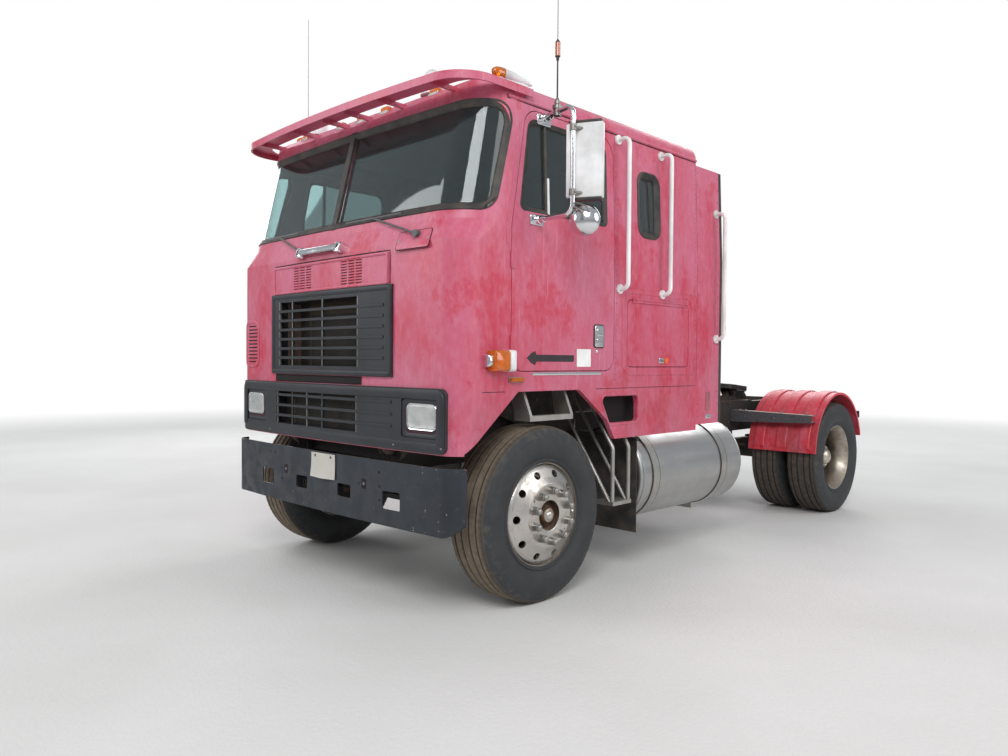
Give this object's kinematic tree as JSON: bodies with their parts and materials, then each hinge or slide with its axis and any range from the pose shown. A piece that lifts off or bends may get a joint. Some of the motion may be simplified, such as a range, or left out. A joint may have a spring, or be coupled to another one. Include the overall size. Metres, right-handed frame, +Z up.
{
  "type": "cab-over truck tractor unit",
  "caption": "Cab-over highway tractor with a sleeper cab that tilts, steered front wheels, twin rear tyres and a rocking fifth wheel for semi-trailers.",
  "frame": {"origin": "on the ground under the middle of the truck's length, on its symmetry plane", "axes": "+X is the truck's left, the front faces -Y, +Z is up"},
  "size_m": [3.0466, 5.596, 3.9499],
  "materials": {
    "cab_paint": "oxidised satin",
    "fender_paint": "weathered satin",
    "bumper_paint": "scuffed satin",
    "frame_paint": "dusty satin",
    "chassis_iron": "dusty",
    "engine_iron": "oily",
    "radiator_core": "matt dark",
    "tyre": "dusty",
    "front_rim": "satin",
    "rear_rim": "dusty satin",
    "tank_aluminium": "brushed",
    "bracket_steel": "dull",
    "bright_aluminium": "polished",
    "fifth_wheel_steel": "greased",
    "glass": "tinted",
    "rubber": "matt",
    "grille_plastic": "matt",
    "lamp_clear": "clear",
    "lamp_amber": "clear",
    "lamp_red": "clear",
    "mirror_shell": "satin",
    "cab_interior": "matt",
    "seat_cloth": "woven",
    "mattress_cloth": "woven"
  },
  "bodies": {
    "chassis": {"frame": "frame_paint", "bumper": "bumper_paint", "front_axle": "chassis_iron", "leaf_springs": "chassis_iron", "rear_axle": "chassis_iron", "engine": "engine_iron", "radiator": "radiator_core", "propeller_shaft": "chassis_iron", "fuel_tanks": "tank_aluminium", "tank_brackets": "bracket_steel", "splash_flaps": "rubber", "rear_fenders": "fender_paint", "fender_arms": "fender_paint", "tail_lamps": "lamp_red", "fifth_wheel_base": "frame_paint"},
    "cab": {"cab_front": "cab_paint", "cab_glass": "glass", "cab_sides": "cab_paint", "cab_rear": "cab_paint", "cab_roof": "cab_paint", "cab_floor": "cab_interior", "engine_cover": "cab_interior", "side_skirts": "cab_paint", "lower_panel": "cab_paint", "side_fairings": "cab_paint", "fairing_rubbers": "rubber", "louvre_panel": "cab_paint", "front_grilles": "grille_plastic", "headlamps": "lamp_clear", "side_lamps": "lamp_amber", "wipers": "rubber", "visor": "cab_paint", "roof_lamps": "lamp_amber", "grab_rails": "bright_aluminium", "cab_steps": "bright_aluminium", "dash": "cab_interior", "steering_wheel": "cab_interior", "seats": "seat_cloth", "bunk": "cab_interior", "mattress": "mattress_cloth"},
    "fifth_wheel": {"fifth_wheel_plate": "fifth_wheel_steel"},
    "tie_rod": {"tie_rod": "chassis_iron"},
    "door_left": {"door_left": "cab_paint", "door_glass_left": "glass", "mirror_left": "mirror_shell"},
    "locker_left": {"locker_door_left": "cab_paint"},
    "knuckle_left": {"knuckle_left": "chassis_iron"},
    "front_wheel_left": {"front_tyre_left": "tyre", "front_wheel_left": "front_rim"},
    "rear_wheels_left": {"rear_tyres_left": "tyre", "rear_wheels_left": "rear_rim"},
    "door_right": {"door_right": "cab_paint", "door_glass_right": "glass", "mirror_right": "mirror_shell"},
    "locker_right": {"locker_door_right": "cab_paint"},
    "knuckle_right": {"knuckle_right": "chassis_iron"},
    "front_wheel_right": {"front_tyre_right": "tyre", "front_wheel_right": "front_rim"},
    "rear_wheels_right": {"rear_tyres_right": "tyre", "rear_wheels_right": "rear_rim"}
  },
  "joints": [
    {"name": "cab_tilt", "type": "hinge", "parent": "chassis", "child": "cab", "pos_m": [0, -2.662, 0.87], "axis": [1, 0, 0], "range_deg": [0, 50]},
    {"name": "fifth_wheel_rock", "type": "hinge", "parent": "chassis", "child": "fifth_wheel", "pos_m": [0, 1.458, 1.088], "axis": [1, 0, 0], "range_deg": [0, 15]},
    {"name": "steer_left", "type": "hinge", "parent": "chassis", "child": "knuckle_left", "pos_m": [0.8, -2.072, 0.5], "axis": [0, 0, 1], "range_deg": [-35, 35]},
    {"name": "steer_right", "type": "hinge", "parent": "chassis", "child": "knuckle_right", "pos_m": [-0.8, -2.072, 0.5], "axis": [0, 0, 1], "range_deg": [-35, 35]},
    {"name": "tie_rod_turn", "type": "hinge", "parent": "knuckle_left", "child": "tie_rod", "pos_m": [0.8, -1.872, 0.375], "axis": [0, 0, 1], "range_deg": [-35, 35]},
    {"name": "door_left_swing", "type": "hinge", "parent": "cab", "child": "door_left", "pos_m": [1.1493, -2.364, 2], "axis": [0, 0, -1], "range_deg": [0, 70]},
    {"name": "locker_left_swing", "type": "hinge", "parent": "cab", "child": "locker_left", "pos_m": [1.1493, -0.95, 1.76], "axis": [0, -1, 0], "range_deg": [0, 80]},
    {"name": "front_wheel_left_spin", "type": "hinge", "parent": "knuckle_left", "child": "front_wheel_left", "pos_m": [1.012, -2.072, 0.5], "axis": [1, 0, 0], "continuous": true},
    {"name": "rear_wheels_left_spin", "type": "hinge", "parent": "chassis", "child": "rear_wheels_left", "pos_m": [1.08, 1.898, 0.5], "axis": [1, 0, 0], "continuous": true},
    {"name": "door_right_swing", "type": "hinge", "parent": "cab", "child": "door_right", "pos_m": [-1.1493, -2.364, 2], "axis": [0, 0, 1], "range_deg": [0, 70]},
    {"name": "locker_right_swing", "type": "hinge", "parent": "cab", "child": "locker_right", "pos_m": [-1.1493, -0.95, 1.76], "axis": [0, 1, 0], "range_deg": [0, 80]},
    {"name": "front_wheel_right_spin", "type": "hinge", "parent": "knuckle_right", "child": "front_wheel_right", "pos_m": [-1.012, -2.072, 0.5], "axis": [1, 0, 0], "continuous": true},
    {"name": "rear_wheels_right_spin", "type": "hinge", "parent": "chassis", "child": "rear_wheels_right", "pos_m": [-1.08, 1.898, 0.5], "axis": [1, 0, 0], "continuous": true}
  ],
  "couplings": [
    {"joint": "steer_right", "follows": "steer_left", "ratio": 1},
    {"joint": "tie_rod_turn", "follows": "steer_left", "ratio": -1}
  ]
}
